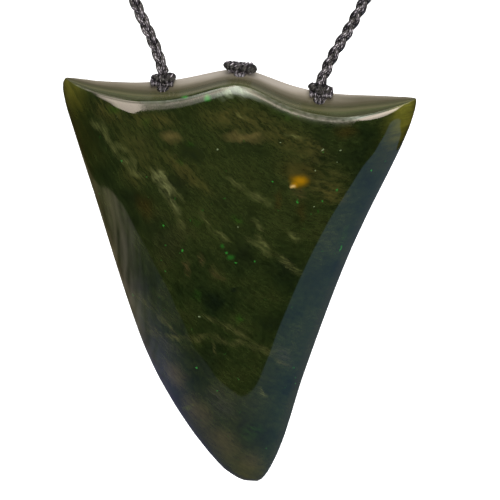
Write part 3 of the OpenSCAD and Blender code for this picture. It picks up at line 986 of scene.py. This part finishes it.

# %% [markdown]
# The cord and the lashings are waxed thread, and each thread is itself a fine braid. Its small crossing
# stitches catch the light as pale flecks. They are far too small to model, so the finish paints them
# into the thread's colour from the UV map, as painted highlights with painted shade in the gaps: two sets
# of slanting lines cross, each diamond between them is one stitch, and each stitch has its own shade.

# %% The stitches of the thread
thread_finish, tree, shader = new_material("waxed_braided_thread")
STITCH = 1.1 * MM
STITCHES_ROUND = 7
uv = add(tree, "SeparateXYZ", add(tree, "TexCoord")["UV"])
along = add(tree, "Math", uv["X"], STITCH, operation="DIVIDE")[0]
height, cell = 1.0, []
for slant in (STITCHES_ROUND, -STITCHES_ROUND):
    line = add(tree, "Math", uv["Y"], slant, along, operation="MULTIPLY_ADD")[0]
    cell.append(add(tree, "Math", line, operation="FLOOR")[0])
    wave = add(tree, "Math", line, math.pi, operation="MULTIPLY")[0]
    for operation in ("SINE", "ABSOLUTE"):
        wave = add(tree, "Math", wave, operation=operation)[0]
    height = add(tree, "Math", height, wave, operation="MULTIPLY")[0]
luck = add(tree, "TexWhiteNoise", add(tree, "CombineXYZ", *cell)[0], noise_dimensions="2D")["Value"]
luck = add(tree, "MapRange", luck, 0, 1, 0.35, 1.75)[0]
print("a stitch is", STITCH / MM, "mm long,", STITCHES_ROUND, "of them go round")

# %% The painted highlights and shade of the thread
# Painted highlight: the crown of each stitch is painted pale, lighter or darker from stitch to stitch
light = add(tree, "Math", height, luck, operation="MULTIPLY")[0]
# Painted shade: the sides of a thread, where it presses on the next one, are darkened
side = add(tree, "Math", uv["Y"], 2 * math.pi, operation="MULTIPLY")[0]
for operation in ("SINE", "ABSOLUTE"):
    side = add(tree, "Math", side, operation=operation)[0]
side = add(tree, "Math", side, 1.1, operation="POWER")[0]
light = add(tree, "Math", light, side, operation="MULTIPLY")[0]
# The painted shade stored in each piece darkens the plait's valleys and the rolls, and lightens the middle
# lashing's turns
painted_shade = add(tree, "Attribute", attribute_name="painted_shade")["Fac"]
light = add(tree, "Math", painted_shade, -0.35, light, operation="MULTIPLY_ADD")[0]
tint = add(tree, "ValToRGB", light, stops=[
    (0, "#09070b"), (0.3, "#2c272e"), (0.7, "#80777f"), (1, "#c8c0c6"),
])["Color"]
tree.links.new(tint, shader["Base Color"])
shader["Roughness"].default_value = 0.4
tree.links.new(add(tree, "Bump", Height=height, Strength=1, Distance=0.1 * MM)[0], shader["Normal"])
for piece in (neck_cord, *lashings.values()):
    piece.data.materials.append(thread_finish)
print("thread:", len(tree.nodes), "nodes")

# %% [markdown]
# The light is what makes a polished stone look polished, because the stone shows a picture of the studio
# round it. Lamps would do, but each would draw a hard spot. So the light comes in two parts. The air itself
# is a soft white glow, strongest in front and above and weaker behind, which lights every surface but isn't
# mirrored. What the stone mirrors are white cards: one card lies under the stone and reaches forward to a
# curved edge, which draws the two pale flanks with the dark wedge between them, and soft boxes in front,
# overhead and behind draw the bright rim. The cards are seen in reflections only, so they show in no other
# view. The paper floor glows a little, so that it stays as pale as the photograph's, and it adds no light
# of its own to the stone.

# %% The floor
FLOOR = -420 * MM
bpy.ops.object.select_all(action="DESELECT")
bpy.ops.mesh.primitive_plane_add(size=30, location=(0, 0, FLOOR))
floor = bpy.context.object
floor.name = "studio_floor"
paper, tree, shader = new_material("matt_paper")
for socket, value in (
    ("Base Color", colour("#f3f3f3")), ("Roughness", 0.9), ("Emission Color", colour("#ffffff")),
    ("Emission Strength", 0.45),
):
    shader[socket].default_value = value
floor.data.materials.append(paper)
floor.visible_glossy = False
floor.visible_diffuse = False
print("floor", round(floor.dimensions.x), "m wide, at height", FLOOR)

# %% The air
AIR_LOW = 0.22
AIR_FRONT, AIR_BEHIND = 1.9, 0.9
world = bpy.data.worlds.new("studio_air")
scene.world = world
world.use_nodes = True
tree = world.node_tree
air = tree.nodes["Background"].inputs
air["Color"].default_value = colour("#ffffff")
direction = add(tree, "TexCoord")["Generated"]
light = AIR_LOW
for way_of_light, amount in (((0, -0.8, 0.6), AIR_FRONT), ((0, 0.9, 0.44), AIR_BEHIND)):
    share = add(tree, "VectorMath", direction, way_of_light, operation="DOT_PRODUCT")["Value"]
    share = add(tree, "Math", share, 0, operation="MAXIMUM")[0]
    share = add(tree, "Math", share, 2, operation="POWER")[0]
    light = add(tree, "Math", share, amount, light, operation="MULTIPLY_ADD")[0]
tree.links.new(light, air["Strength"])
world.cycles_visibility.glossy = False
scene.view_settings.view_transform = "Standard"
print("air:", len(tree.nodes), "nodes")

# %% Cards that only the reflections see
STONE_MIDDLE = Vector((0, -2, -310)) * MM
BOX_DISTANCE = 2.5


def light_card(card, strength):
    """Makes the object a card that glows in reflections only. Returns its tree and its colour's socket."""
    material, tree, shader = new_material(card.name)
    tree.nodes.remove(tree.nodes["Principled BSDF"])
    glow = add(tree, "Emission", Strength=strength)[0]
    tree.links.new(glow, tree.nodes["Material Output"].inputs["Surface"])
    card.data.materials.append(material)
    for ray in ("camera", "diffuse", "transmission", "volume_scatter", "shadow"):
        setattr(card, "visible_" + ray, False)
    return tree, glow.node.inputs["Color"]


def soft_box(name, border, top, strength, across, up):
    """A lit card on a sphere round the stone. border gives pairs of turn and lowest rise in degrees, turn 0
    is the front, and top is the highest rise. across gives the tint by turn, and up the shade by rise."""
    border = np.array(border, float)
    turns_across = np.arange(border[0, 0], border[-1, 0] + 0.1, 0.5)
    lows = np.interp(turns_across, border[:, 0], border[:, 1])
    steps = 10
    points, faces, uvs = [], [], []
    for i, (turn, low) in enumerate(zip(turns_across, lows)):
        for j, rise in enumerate(np.linspace(low, top, steps + 1)):
            a, b = math.radians(turn), math.radians(rise)
            way_out = Vector((math.sin(a) * math.cos(b), -math.cos(a) * math.cos(b), math.sin(b)))
            points.append(STONE_MIDDLE + BOX_DISTANCE * way_out)
            uvs.append((turn / 360, rise / 360))
            if i and j:
                a, b = (i - 1) * (steps + 1) + j - 1, i * (steps + 1) + j - 1
                faces.append((a, a + 1, b + 1, b))
    card = new_piece(name, points, faces, [uvs[i] for face in faces for i in face])
    tree, glow = light_card(card, strength)
    axes = add(tree, "SeparateXYZ", add(tree, "TexCoord")["UV"])
    tints = []
    for value, ramp in ((axes["X"], across), (axes["Y"], up)):
        low, high = ramp[0][0], ramp[-1][0]
        stops = [((at - low) / (high - low), tuple(tint * np.ones(3))) for at, tint in ramp]
        share = add(tree, "MapRange", value, low / 360, high / 360)[0]
        tints.append(add(tree, "ValToRGB", share, stops=stops)["Color"])
    tint = add(
        tree, "Mix", Factor=1.0, A=tints[0], B=tints[1], data_type="RGBA", blend_type="MULTIPLY"
    )["Result"]
    tree.links.new(tint, glow)
    print(name, "from", border[0, 0], "to", border[-1, 0], "degrees")


# %% [markdown]
# Which part of the studio a place on the rim mirrors was worked out from the rim's own slope there. Left of
# the peak the boxes end high or low so that the band ends where it does in the photograph, and each box is
# dimmed across and upwards in the way that the band fades. One large box would be simpler, but its picture
# on the rim would be as even as enamel.

# %% The boxes in front
WARM = np.array(colour("#ffecdd")[:3])  # cream
PALE = np.array(colour("#f9ffef")[:3])  # a little green
soft_box(
    "left_box", [(-22.5, -7), (-21, -11), (-19.5, -15), (-18, -18), (-17, -18), (-15, -8), (-14.5, 5)],
    75, 8.5,
    [(-22.5, 0.1 * WARM), (-21, 0.5 * WARM), (-19, 0.9 * WARM), (-14.5, WARM)],
    [(-18, 0.75), (-8, 0.9), (5, 1), (12, 0.85), (19, 0.45), (26, 0.45), (31, 0.9), (40, 1.5), (75, 1.5)],
)
soft_box(
    "far_left_box", [(-45, 30), (-36, 27), (-27, 16), (-22.5, 15)], 62, 8,
    [(-45, 0.1 * WARM), (-34, 0.4 * WARM), (-28, PALE), (-22.5, PALE)],
    [(15, 0.6), (24, 0.9), (36, 1), (44, 0.3), (62, 0.1)],
)
soft_box(
    "band_box", [(-14.5, -10), (-12, -9), (-10, -7), (-8, -6.5)], 75, 8.5,
    [(-14.5, 0.35 * WARM), (-12.5, 0.5 * WARM), (-10, 0.75 * PALE), (-8, 0.8 * PALE)],
    [(-10, 0.2), (-6, 0.4), (-3, 0.6), (1, 0.8), (10, 1), (25, 1.6), (35, 2), (75, 2)],
)
soft_box(
    "peak_box", [(-8, -6.5), (-5, -4.5), (-2, -5.5), (1.5, -6.5)], 75, 8.5,
    [(-8, 0.8 * PALE), (-6, 0.9 * PALE), (-2, PALE), (1.5, 0.9 * PALE)],
    [(-6.5, 0.3), (-3, 0.7), (5, 1), (20, 1.35), (35, 1.6), (75, 2)],
)
soft_box(
    "slope_box", [(1.5, -6.5), (5, -6), (8, -2), (9.5, 5)], 75, 10,
    [(1.5, 0.85 * PALE), (6, PALE), (9.5, WARM)],
    [(-6.5, 0.15), (0, 0.4), (6, 0.7), (12, 0.95), (22, 0.9), (30, 0.6), (42, 0.3), (75, 0.3)],
)
soft_box(
    "right_box", [(9.5, 6), (11, 1), (12.5, -5), (16, -10.5), (20, -13), (23.5, -13), (25, -8), (26.5, 4)],
    75, 12,
    [(9.5, 0.85 * WARM), (12, WARM), (22, WARM), (24.5, 0.6 * WARM), (26.5, 0.05 * WARM)],
    [(-13, 0.5), (-6, 0.65), (0, 0.8), (6, 1), (13, 0.9), (19, 0.5), (30, 0.45), (75, 0.3)],
)
soft_box(
    "far_right_box", [(26.5, 20), (36, 26), (60, 40), (105, 50)], 70, 6,
    [(26.5, PALE), (60, 0.9 * WARM), (105, 0.6 * WARM)], [(20, 0.9), (66, 1)],
)

# %% The boxes overhead and behind
soft_box(
    "high_box", [(-180, 75), (-8, 75), (-8, 75), (105, 70), (110, 62), (180, 62)], 89, 1.2,
    [(-180, 0.7 * WARM), (-100, 0.5 * WARM), (0, 0.6 * WARM), (60, WARM), (180, 0.7 * WARM)],
    [(62, 0.8), (89, 1.0)],
)
soft_box(
    "back_box", [(90, -8), (270, -8)], 62, 0.22, [(90, 1.0), (270, 1.0)],
    [(-8, 0.8), (10, 1), (28, 0.6), (62, 0.8)],
)

# %% The lamp overhead
# It lights what faces up a little more than the air does, and isn't mirrored either
LAMP_AWAY = Vector((0, -0.15, 0.65))
lamp = bpy.data.objects.new("overhead_lamp", bpy.data.lights.new("overhead_lamp", "AREA"))
scene.collection.objects.link(lamp)
lamp.data.size = 0.6
lamp.data.energy = 3.5
lamp.location = STONE_MIDDLE + LAMP_AWAY
lamp.rotation_euler = (math.atan2(LAMP_AWAY.y, LAMP_AWAY.z), 0, 0)
lamp.visible_glossy = False
print("lamp at", [round(v, 2) for v in lamp.location])

# %% The table card
# Its edges on the left, in front and on the right, in millimetres: across and back
card_edge = [
    (-185, 40), (-172, -10), (-164, -43), (-158, -67), (-152, -86), (-146, -105), (-136, -127), (-119, -144),
    (-96, -145), (-69, -141), (-43, -127), (-14, -118), (5, -111), (24, -114), (45, -120), (67, -137),
    (89, -153), (103, -160), (128, -174), (145, -190), (157, -208), (168, -225), (183, -228), (192, -205),
    (190, -150), (184, -90), (174, -30), (180, 40),
]
back_edge = [(180, 110), (-185, 110)]
outline = [(x * MM, y * MM, FLOOR + MM) for x, y in [*smooth_line(card_edge, 4), *back_edge]]
mesh = bpy.data.meshes.new("table_card")
mesh.from_pydata(outline, [], [tuple(range(len(outline)))])
table_card = bpy.data.objects.new("table_card", mesh)
scene.collection.objects.link(table_card)
print("table card of", len(outline), "points")

# %% The shades of the table card
# Its places are in metres, as it isn't a piece of the pendant
tree, glow = light_card(table_card, 1.0)
card_spot = add(tree, "TexCoord")["Object"]
card_axes = add(tree, "SeparateXYZ", card_spot)
across = card_axes["X"]
tints = add(tree, "ValToRGB", add(tree, "MapRange", across, -0.16, 0.16)[0], stops=[
    (0, "#a09573"), (0.06, "#c4b595"), (0.12, "#cbbfad"), (0.17, "#aaa6ad"),
    (0.25, "#8489c2"), (0.36, "#616995"), (0.5, "#797c89"), (0.75, "#769bba"),
    (1, "#8eadd0"),
])["Color"]
# It is creased paper: streaks of light and shade run from its back to its front, most on the left
crease_place = add(tree, "VectorMath", card_spot, (160, 14, 0), operation="MULTIPLY")[0]
creases = add(tree, "TexNoise", crease_place, Scale=1, Detail=3)["Fac"]
creases = add(tree, "MapRange", creases, 0.35, 0.65, 0.4, 1.6)[0]
left_share = add(tree, "MapRange", across, -0.06, -0.13)[0]
creases = add(tree, "Mix", Factor=left_share, A=1.0, B=creases)["Result"]
tints = add(tree, "VectorMath", tints, Scale=creases, operation="SCALE")[0]
# Between these two places across, on the left, it also gets dimmer towards its front edge
dim = add(tree, "MapRange", card_axes["Y"], -0.118, -0.05, 0.28, 1.15)[0]
for none, full in ((0.01, -0.04), (-0.125, -0.105)):
    share = add(tree, "MapRange", across, none, full)[0]
    dim = add(tree, "Mix", Factor=share, A=1.0, B=dim)["Result"]
tints = add(tree, "VectorMath", tints, Scale=dim, operation="SCALE")[0]
tree.links.new(tints, glow)
print("table card:", len(tree.nodes), "nodes")

# %% [markdown]
# Last, each new piece is attached to the root body, and the imported node that it stands for is hidden.

# %% Attach the pieces
for piece, node, finish in (
    (tooth, "tooth", "jade"), (neck_cord, "neck_cord", "plaited_cord"),
    *((piece, node, "waxed_thread") for node, piece in lashings.items()),
):
    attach(piece, "root")
    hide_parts(node)
